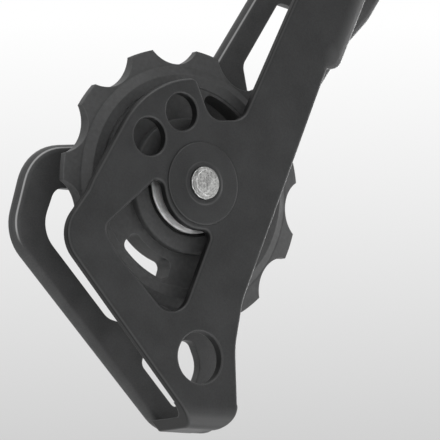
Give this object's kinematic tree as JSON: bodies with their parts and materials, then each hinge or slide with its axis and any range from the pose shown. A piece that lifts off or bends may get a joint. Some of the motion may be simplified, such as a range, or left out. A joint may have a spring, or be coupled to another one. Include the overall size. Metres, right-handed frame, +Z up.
{
  "type": "rear derailleur",
  "caption": "Long-cage bicycle rear derailleur: sprung hanger knuckle, slanted parallelogram, swinging riveted cage with two toothed chain pulleys.",
  "frame": {"origin": "on the hanger bolt's axis, at the face of the stop plate that seats on the frame's hanger", "axes": "+Y along the hanger bolt towards the wheel, +X forwards, +Z up"},
  "size_m": [0.1009, 0.0583, 0.1946],
  "materials": {
    "black_alloy": "satin",
    "plate_black": "satin",
    "resin": "matte",
    "steel": "brushed",
    "bright_steel": "bright",
    "spring_steel": "oiled",
    "seal_rubber": "matte"
  },
  "bodies": {
    "hanger": {"hanger_bolt": "black_alloy", "hanger_circlip": "spring_steel", "stop_plate": "steel"},
    "upper_knuckle": {"mounting_knuckle": "black_alloy", "knuckle_bush": "steel", "knuckle_spring": "spring_steel", "upper_link_pins": "steel", "barrel_spring": "spring_steel"},
    "high_screw": {"high_limit_screw": "steel"},
    "low_screw": {"low_limit_screw": "steel"},
    "angle_set": {"angle_screw": "steel"},
    "barrel": {"barrel_adjuster": "resin"},
    "outer_arm": {"outer_link": "black_alloy", "cable_clamp_plate": "steel", "cable_clamp_bolt": "steel", "return_spring": "spring_steel"},
    "inner_arm": {"inner_link": "black_alloy"},
    "lower_knuckle": {"cage_knuckle": "black_alloy", "lower_link_pins": "steel", "cage_spring": "spring_steel", "cage_seal": "seal_rubber"},
    "cage": {"cage_axle": "steel", "cage_stop_pin": "steel", "outer_cage_plate": "plate_black", "inner_cage_plate": "plate_black", "guide_bush": "steel", "tension_bush": "steel", "guide_dust_caps": "bright_steel", "tension_dust_caps": "bright_steel", "guide_axle": "bright_steel", "tension_axle": "bright_steel"},
    "guide_wheel": {"guide_pulley": "resin"},
    "tension_wheel": {"tension_pulley": "resin"}
  },
  "joints": [
    {"name": "mounting_pivot", "type": "hinge", "parent": "hanger", "child": "upper_knuckle", "pos_m": [0, 0, 0], "axis": [0, 1, 0], "range_deg": [0, 30], "stiffness_Nm_per_rad": 0.15, "springref_deg": -68.75},
    {"name": "high_screw_turn", "type": "hinge", "parent": "upper_knuckle", "child": "high_screw", "pos_m": [-0.01415, -0.0109, -0.00973], "axis": [0.7431, 0, -0.6691], "continuous": true},
    {"name": "low_screw_turn", "type": "hinge", "parent": "upper_knuckle", "child": "low_screw", "pos_m": [-0.01415, -0.0166, -0.00973], "axis": [0.7431, 0, -0.6691], "continuous": true},
    {"name": "angle_screw_turn", "type": "hinge", "parent": "upper_knuckle", "child": "angle_set", "pos_m": [-0.008, -0.0082, 0.01386], "axis": [-0.866, 0, -0.5], "continuous": true},
    {"name": "barrel_turn", "type": "hinge", "parent": "upper_knuckle", "child": "barrel", "pos_m": [-0.03588, -0.014, -0.02072], "axis": [0.7431, 0, -0.6691], "continuous": true},
    {"name": "outer_link_swing", "type": "hinge", "parent": "upper_knuckle", "child": "outer_arm", "pos_m": [-0.01442, -0.0195, -0.022], "axis": [0.6691, 0, 0.7431], "range_deg": [0, 49], "stiffness_Nm_per_rad": 0.3, "springref_deg": -34.38, "deforming": ["return_spring"]},
    {"name": "inner_link_swing", "type": "hinge", "parent": "upper_knuckle", "child": "inner_arm", "pos_m": [-0.01442, -0.008, -0.022], "axis": [0.6691, 0, 0.7431], "range_deg": [0, 49]},
    {"name": "lower_knuckle_swing", "type": "hinge", "parent": "outer_arm", "child": "lower_knuckle", "pos_m": [0.01072, -0.03181, -0.04463], "axis": [0.6691, 0, 0.7431], "range_deg": [-49, 0]},
    {"name": "cage_swing", "type": "hinge", "parent": "lower_knuckle", "child": "cage", "pos_m": [0.02312, 0, -0.0585], "axis": [0, -1, 0], "range_deg": [0, 95], "stiffness_Nm_per_rad": 0.12, "springref_deg": -85.94},
    {"name": "guide_pulley_spin", "type": "hinge", "parent": "cage", "child": "guide_wheel", "pos_m": [0.00762, 0.012, -0.0615], "axis": [0, 1, 0], "continuous": true},
    {"name": "tension_pulley_spin", "type": "hinge", "parent": "cage", "child": "tension_wheel", "pos_m": [-0.03488, 0.012, -0.1345], "axis": [0, 1, 0], "continuous": true}
  ],
  "couplings": [
    {"joint": "inner_link_swing", "follows": "outer_link_swing", "ratio": 1},
    {"joint": "lower_knuckle_swing", "follows": "outer_link_swing", "ratio": -1}
  ]
}
